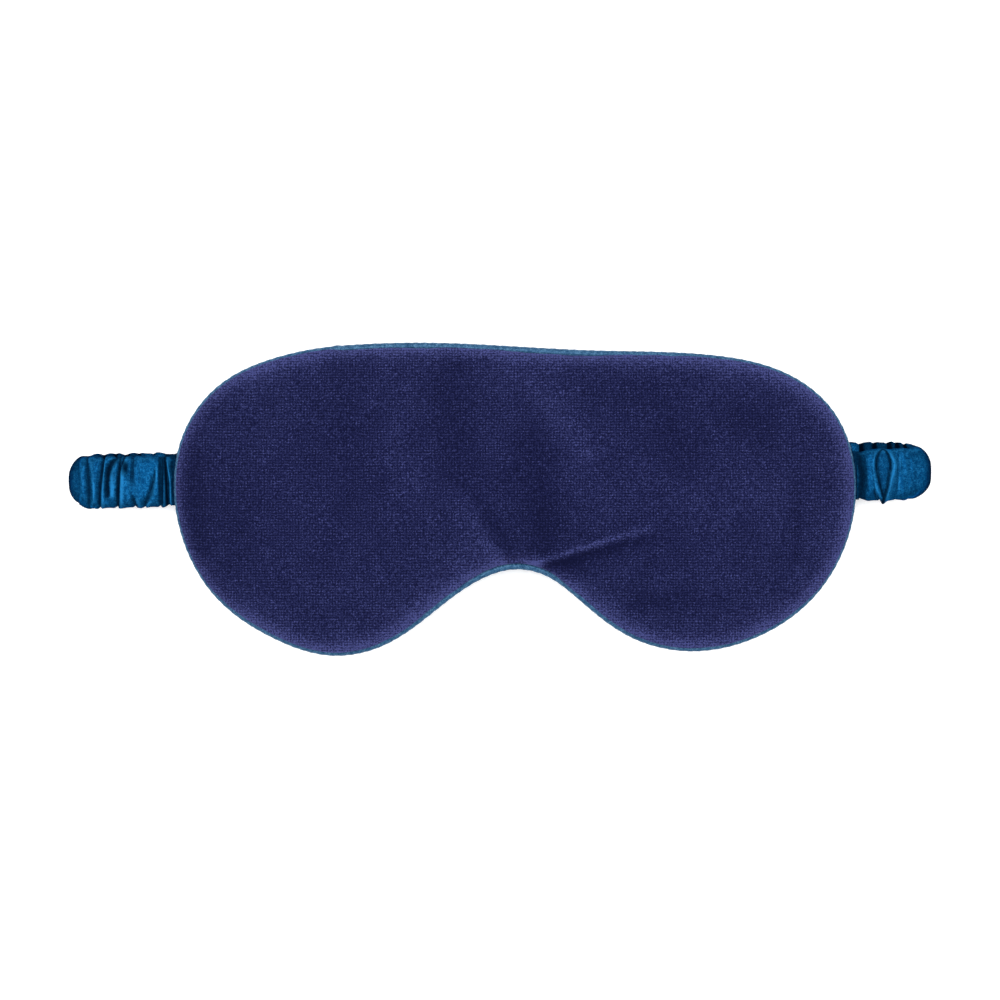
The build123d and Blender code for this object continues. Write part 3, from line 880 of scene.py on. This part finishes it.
def strap_pieces():
    """Each piece of the strap: name, start and end x, CAD nodes, its two bodies, and where the
    blend between them starts and ends."""
    joints = {j["name"]: j for j in frame["joints"]}
    right_bend = joints["right_bend"]["pos_m"][0] / MM
    left_bend = joints["left_bend"]["pos_m"][0] / MM
    return [
        ("right", None, CUTS[0], ("right_tab", "right_fold", "right_run"), ("right_tab", "right_run"),
         (131.9, FOLD_TOP), (131.9, FOLD_BOTTOM)),
        ("back_right", CUTS[0], CUTS[1], ("middle_right_run",), ("right_run", "middle_right_run"),
         (right_bend + BEND_REACH, RUN_HEIGHT), (right_bend - BEND_REACH, RUN_HEIGHT)),
        ("centre", CUTS[1], CUTS[2], ("middle_left_run",), ("middle_right_run", "middle_left_run"),
         (CUTS[1], RUN_HEIGHT), (CUTS[2], RUN_HEIGHT)),
        ("back_left", CUTS[2], CUTS[3], ("left_run",), ("middle_left_run", "left_run"),
         (left_bend + BEND_REACH, RUN_HEIGHT), (left_bend - BEND_REACH, RUN_HEIGHT)),
        ("left", CUTS[3], None, ("left_fold", "left_tab"), ("left_run", "left_tab"),
         (-131.9, FOLD_BOTTOM), (-131.9, FOLD_TOP)),
    ]


def path_part(start_x, end_x):
    """The path samples of the run between two x, or up to the seam where one is None."""
    step = PATH["s"][1] - PATH["s"][0]
    low = 0 if start_x is None else round(run_s(start_x) / step)
    high = len(PATH["s"]) - 1 if end_x is None else round(run_s(end_x) / step)
    return slice(low, high + 1)


def make_strap():
    made = []
    for name, start_x, end_x, nodes, bodies, start, end in strap_pieces():
        part = path_part(start_x, end_x)
        surface, shade, crest_highlight = strap_points(part)
        casing = tube(name + "_casing_satin", surface, False)
        # The strap's painted shade and painted highlight, as attributes.
        set_attribute(casing, "sunk", shade.ravel())
        set_attribute(casing, "crest_highlight", crest_highlight.ravel())
        band = tube(name + "_elastic_band", band_points(part, ELASTIC_WIDTH, ELASTIC_THICKNESS), True)
        for obj, kind, slot in ((casing, "casing", "satin"), (band, "elastic", "elastic")):
            outward_tube(obj)
            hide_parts(*[node + "_" + kind for node in nodes])
            ends = [(x * MM, 0.0, z * MM) for x, z in (start, end)]
            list(bodies)
            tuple(ends[0])
            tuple(ends[1])
            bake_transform(obj)
        made.append((casing, band))
    return made


# ---- Materials --------------------------------------------------------------------------

def srgb(red, green, blue):
    """A colour given as sRGB 0-255, as linear values."""
    levels = (red, green, blue)
    return [((c / 255 + 0.055) / 1.055) ** 2.4 if c > 10 else c / 255 / 12.92 for c in levels]


SATIN_COLOURS = (srgb(3, 40, 74), srgb(5, 57, 96), srgb(20, 86, 132))
SATIN_GLINT = srgb(60, 190, 255)
# The colour of the painted shade between the strap's gathers.
SATIN_SHADE_COLOUR = srgb(1, 9, 24)
PIPING_COLOURS = (srgb(24, 56, 88), srgb(48, 84, 116), srgb(84, 122, 152))
PIPING_GLINT = srgb(190, 220, 240)


class Nodes:
    """A new material's node tree, with short calls to add nodes."""

    def __init__(self, name):
        self.material = bpy.data.materials.new(name)
        self.material.use_nodes = True
        self.tree = self.material.node_tree
        self.shader = self.tree.nodes["Principled BSDF"]

    def add(self, kind):
        return self.tree.nodes.new(kind)

    def link(self, source, target):
        self.tree.links.new(source, target)

    def dye(self, colour):
        self.link(colour, self.shader.inputs["Base Color"])

    def set(self, **values):
        for key, value in values.items():
            self.shader.inputs[key.replace("_", " ")].default_value = value

    def position(self):
        """Positions in the frame, in mm."""
        coordinates = self.add("ShaderNodeTexCoord")
        mapping = self.add("ShaderNodeMapping")
        mapping.inputs["Scale"].default_value = [1 / MM] * 3
        self.link(coordinates.outputs["Object"], mapping.inputs["Vector"])
        return mapping.outputs["Vector"]

    def noise(self, vector, scale, detail, roughness):
        node = self.add("ShaderNodeTexNoise")
        node.inputs["Scale"].default_value = scale
        node.inputs["Detail"].default_value = detail
        node.inputs["Roughness"].default_value = roughness
        self.link(vector, node.inputs["Vector"])
        return node.outputs["Fac"]

    def wave(self, vector, direction, scale, distortion, detail_scale=1.0):
        node = self.add("ShaderNodeTexWave")
        node.bands_direction = direction
        node.inputs["Scale"].default_value = scale
        node.inputs["Distortion"].default_value = distortion
        node.inputs["Detail Scale"].default_value = detail_scale
        self.link(vector, node.inputs["Vector"])
        return node.outputs["Fac"]

    def math(self, operation, first, second, third=None):
        node = self.add("ShaderNodeMath")
        node.operation = operation
        for socket, value in zip(node.inputs, (first, second, third)):
            if value is None:
                continue
            if isinstance(value, (int, float)):
                socket.default_value = value
            else:
                self.link(value, socket)
        return node.outputs[0]

    def ramp(self, value, stops):
        """A colour ramp over value, from (place, colour) stops."""
        node = self.add("ShaderNodeValToRGB")
        ramp = node.color_ramp
        while len(ramp.elements) < len(stops):
            ramp.elements.new(0.5)
        for element, (place, colour) in zip(ramp.elements, stops):
            element.position = place
            element.color = (*colour, 1)
        self.link(value, node.inputs["Fac"])
        return node.outputs["Color"]

    def mix(self, share, first, second):
        """A mix of a colour socket towards a fixed colour."""
        node = self.add("ShaderNodeMixRGB")
        self.link(share, node.inputs["Fac"])
        self.link(first, node.inputs["Color1"])
        node.inputs["Color2"].default_value = (*second, 1)
        return node.outputs["Color"]

    def bump(self, height, distance, strength):
        node = self.add("ShaderNodeBump")
        node.inputs["Strength"].default_value = strength
        node.inputs["Distance"].default_value = distance * MM
        self.link(height, node.inputs["Height"])
        self.link(node.outputs["Normal"], self.shader.inputs["Normal"])

    def attribute(self, name):
        node = self.add("ShaderNodeAttribute")
        node.attribute_name = name
        return node.outputs["Fac"]


def velvet_material():
    """Plush velvet: pile in fine rows, with random lighter and darker brushing, painted highlight and
    shade along its folds and painted sheen along its rolled edge, that lightens at glancing angles.
    """
    n = Nodes("navy_velvet")
    place = n.position()
    rows = n.wave(place, "Y", 0.37, 1.5, 1.2)
    columns = n.wave(place, "X", 0.36, 1.8, 1.2)
    grid = n.math("MULTIPLY_ADD", rows, 0.6, n.math("MULTIPLY", columns, 0.4))
    fluff = n.noise(place, 1.9, 1.0, 0.6)
    speck = n.noise(place, 3.1, 1.0, 0.6)
    soft = n.noise(place, 0.10, 3.0, 0.6)
    # Painted light: the first attribute adds the folds' painted highlight and shade to the pile's
    # brushing tone, the second a painted sheen along the rolled edge.
    tone = n.math("MULTIPLY_ADD", n.attribute("nap_and_fold_shading"), 0.32, 0.34)
    tone = n.math("MULTIPLY_ADD", n.attribute("rim"), 0.34, tone)
    for part, amount in ((soft, 0.2), (fluff, 1.6), (speck, 1.6), (grid, 0.5)):
        tone = n.math("ADD", tone, n.math("MULTIPLY_ADD", part, amount, -amount / 2))
    colour = n.ramp(tone, [
        (0.0, srgb(7, 10, 40)), (0.3, srgb(18, 21, 57)), (0.5, srgb(27, 31, 68)),
        (0.72, srgb(40, 44, 84)), (1.0, srgb(62, 67, 118)),
    ])
    n.dye(colour)
    n.set(Roughness=0.95, Sheen_Weight=0.25, Sheen_Roughness=0.45, Specular_IOR_Level=0.08)
    n.shader.inputs["Sheen Tint"].default_value = (*srgb(120, 126, 214), 1)
    height = n.math("MULTIPLY_ADD", fluff, 0.7, n.math("MULTIPLY", grid, 0.6))
    n.bump(height, 0.30, 0.9)
    return n.material


def satin_material(name, colours, metal, glint, painted_light=False):
    """Woven satin: fine threads, slight slubs, and a soft sheen along the folds.

    With painted light on, painted shade darkens the cloth and dims its reflection where its sunk
    attribute says it lies between folds, and painted highlight lightens the ridges.
    """
    n = Nodes(name)
    place = n.position()
    slub = n.noise(place, 0.9, 3.0, 0.6)
    crinkle = n.noise(place, 2.4, 2.0, 0.6)
    threads = n.wave(place, "DIAGONAL", 0.9, 0.6, 2.0)
    speck = n.noise(place, 4.5, 1.0, 0.5)
    tone = n.math("MULTIPLY_ADD", slub, 0.35, n.math("MULTIPLY", crinkle, 0.4))
    tone = n.math("MULTIPLY_ADD", speck, 0.25, tone)
    # Painted highlight: the tone is lightened on the ridges that the highlight attribute marks.
    if painted_light:
        tone = n.math("MULTIPLY_ADD", n.attribute("crest_highlight"), 0.2, tone)
    dark, middle, light = colours
    colour = n.ramp(tone, [(0.38, dark), (0.5, middle), (0.62, light)])
    # Painted shade: the colour goes towards the shade colour and the metallic reflection dims where the
    # sunk attribute says.
    if painted_light:
        colour = n.mix(n.attribute("sunk"), colour, SATIN_SHADE_COLOUR)
        shown = n.math("MULTIPLY_ADD", n.attribute("sunk"), -0.95, 1.0)
        n.link(n.math("MULTIPLY", shown, metal), n.shader.inputs["Metallic"])
        n.set(Specular_IOR_Level=0.0)
    else:
        n.set(Metallic=metal, Specular_IOR_Level=0.06)
    n.dye(colour)
    n.link(n.math("MULTIPLY_ADD", crinkle, 0.16, 0.3), n.shader.inputs["Roughness"])
    n.set(Anisotropic=0.3)
    n.shader.inputs["Specular Tint"].default_value = (*glint, 1)
    n.bump(n.math("MULTIPLY_ADD", threads, 0.25, crinkle), 0.09, 0.6)
    return n.material


def woven_material(name, colour, scale, depth, roughness=0.85):
    """Plain woven or felted cloth in one dye, with its thread texture."""
    n = Nodes(name)
    place = n.position()
    over = n.wave(place, "X", scale, 1.0)
    under = n.wave(place, "Y", scale, 1.0)
    fibre = n.noise(place, scale * 1.7, 3.0, 0.6)
    weave = n.math("MULTIPLY", over, under)
    tone = n.math("MULTIPLY_ADD", weave, 0.5, n.math("MULTIPLY", fibre, 0.5))
    dark = [c * 0.72 for c in colour]
    light = [min(1.0, c * 1.15) for c in colour]
    n.dye(n.ramp(tone, [(0.15, dark), (0.6, light)]))
    n.set(Roughness=roughness, Sheen_Weight=0.2)
    n.bump(tone, depth, 0.8)
    return n.material


def thread_material(name, colour):
    """Twisted sewing thread."""
    n = Nodes(name)
    place = n.position()
    twist = n.wave(place, "DIAGONAL", 2.6, 0.4)
    dark = [c * 0.6 for c in colour]
    n.dye(n.ramp(twist, [(0.1, dark), (0.7, colour)]))
    n.set(Roughness=0.55)
    n.bump(twist, 0.05, 0.8)
    return n.material


def foam_material():
    """Open-cell foam."""
    n = Nodes("open_cell_foam")
    place = n.position()
    cells = n.add("ShaderNodeTexVoronoi")
    cells.inputs["Scale"].default_value = 2.2
    n.link(place, cells.inputs["Vector"])
    distance = cells.outputs["Distance"]
    n.dye(n.ramp(distance, [(0.1, srgb(176, 170, 150)), (0.6, srgb(232, 228, 212))]))
    n.set(Roughness=0.95)
    n.bump(distance, 0.2, 0.9)
    return n.material


def elastic_material():
    """Knitted elastic: ribs along its length."""
    n = Nodes("knitted_elastic")
    place = n.position()
    ribs = n.wave(place, "Y", 0.9, 0.3)
    knit = n.noise(place, 2.6, 2.0, 0.5)
    tone = n.math("MULTIPLY_ADD", ribs, 0.6, n.math("MULTIPLY", knit, 0.4))
    n.dye(n.ramp(tone, [(0.2, srgb(196, 196, 192)), (0.7, srgb(228, 228, 224))]))
    n.set(Roughness=0.7)
    n.bump(tone, 0.12, 0.8)
    return n.material


def floor_material():
    n = Nodes("pale_floor")
    place = n.position()
    grain = n.noise(place, 0.02, 2.0, 0.5)
    n.dye(n.ramp(grain, [(0.2, (0.885, 0.885, 0.885)), (0.8, (0.9, 0.9, 0.9))]))
    n.set(Roughness=0.9, Specular_IOR_Level=0.1, Emission_Strength=FLOOR_GLOW)
    n.shader.inputs["Emission Color"].default_value = (1, 1, 1, 1)
    return n.material


def paint(obj, material):
    obj.data.materials.clear()
    obj.data.materials.append(material)


def paint_cad_nodes():
    """Procedural materials for the CAD nodes that stay as they are."""
    shared = {
        "cord": woven_material("cotton_cord", srgb(196, 196, 190), 1.2, 0.1),
        "foam": foam_material(),
        "liner": woven_material("blackout_cloth", srgb(24, 24, 28), 1.5, 0.05),
        "wadding": woven_material("wadding", srgb(226, 226, 222), 0.5, 0.3, 0.95),
        "navy": thread_material("navy_thread", srgb(30, 34, 78)),
        "teal": thread_material("teal_thread", srgb(10, 70, 120)),
    }
    chosen = {
        "piping_cord": "cord", "foam_pad": "foam", "blackout_liner": "liner", "back_wadding": "wadding",
        "needle_thread": "navy", "bobbin_thread": "teal", "right_bartack": "navy", "left_bartack": "navy",
    }
    for node, kind in chosen.items():
        paint(frame["nodes"][node], shared[kind])


# ---- Stage ------------------------------------------------------------------------------

MM_PER_PIXEL = 0.31
LENS = 85.0
SENSOR = 36.0
CAMERA_Y = -0.23
WORLD_STRENGTH = 0.5
FLOOR_GLOW = 0.35
FLOOR_HALF = 3000.0
FLOOR_Z = -0.02
SIDE_LIGHT_X = 1.2


def make_camera():
    """A camera straight above the mask."""
    data = bpy.data.cameras.new("camera")
    data.lens = LENS
    data.sensor_width = SENSOR
    data.clip_start = 0.01
    camera = bpy.data.objects.new("camera", data)
    distance = MM_PER_PIXEL * 1000 * LENS / SENSOR
    camera.location = (0, CAMERA_Y * MM, (BEAD_HEIGHT + distance) * MM)
    bpy.context.scene.collection.objects.link(camera)
    bpy.context.scene.camera = camera


def area_light(name, place, size, power):
    """A rectangular light, placed in metres, that points at the origin."""
    data = bpy.data.lights.new(name, "AREA")
    data.shape = "RECTANGLE"
    data.size, data.size_y = size
    data.energy = power
    light = bpy.data.objects.new(name, data)
    light.location = place
    light.rotation_euler = (-Vector(place)).to_track_quat("-Z", "Y").to_euler()
    bpy.context.scene.collection.objects.link(light)


def make_lights():
    world = bpy.data.worlds.new("studio")
    world.use_nodes = True
    background = world.node_tree.nodes["Background"]
    background.inputs["Color"].default_value = (1, 1, 1, 1)
    background.inputs["Strength"].default_value = WORLD_STRENGTH
    bpy.context.scene.world = world
    area_light("overhead", (-0.05, 0.12, 1.25), (1.2, 0.9), 17.0)
    for side, x in (("left", -SIDE_LIGHT_X), ("right", SIDE_LIGHT_X)):
        area_light("side_" + side, (x, 0.1, 0.7), (0.5, 0.9), 4.0)


def make_floor():
    corners = [(x * FLOOR_HALF, y * FLOOR_HALF, FLOOR_Z) for x, y in ((-1, -1), (1, -1), (1, 1), (-1, 1))]
    floor = make_object("floor", corners, [(0, 1, 2, 3)], smooth=False)
    paint(floor, floor_material())


def main():
    satin = satin_material("teal_satin", SATIN_COLOURS, 0.5, SATIN_GLINT)
    ruched = satin_material("ruched_satin", SATIN_COLOURS, 0.5, SATIN_GLINT, painted_light=True)
    piping_satin = satin_material("piping_satin", PIPING_COLOURS, 0.15, PIPING_GLINT)
    velvet = make_velvet()
    paint(velvet, velvet_material())
    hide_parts("front_panel")
    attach(velvet, "mask")

    back = make_satin_back()
    paint(back, satin)
    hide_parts("back_panel")
    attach(back, "mask")

    piping = make_piping()
    outward_tube(piping)
    paint(piping, piping_satin)
    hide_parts("piping_cover")
    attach(piping, "mask")

    elastic = elastic_material()
    for casing, band in make_strap():
        paint(casing, ruched)
        paint(band, elastic)
    for side in ("right", "left"):
        paint(make_seam_end(side), ruched)
    paint_cad_nodes()
    make_floor()
    make_camera()
    make_lights()
    bpy.context.scene.view_settings.view_transform = "Standard"


main()
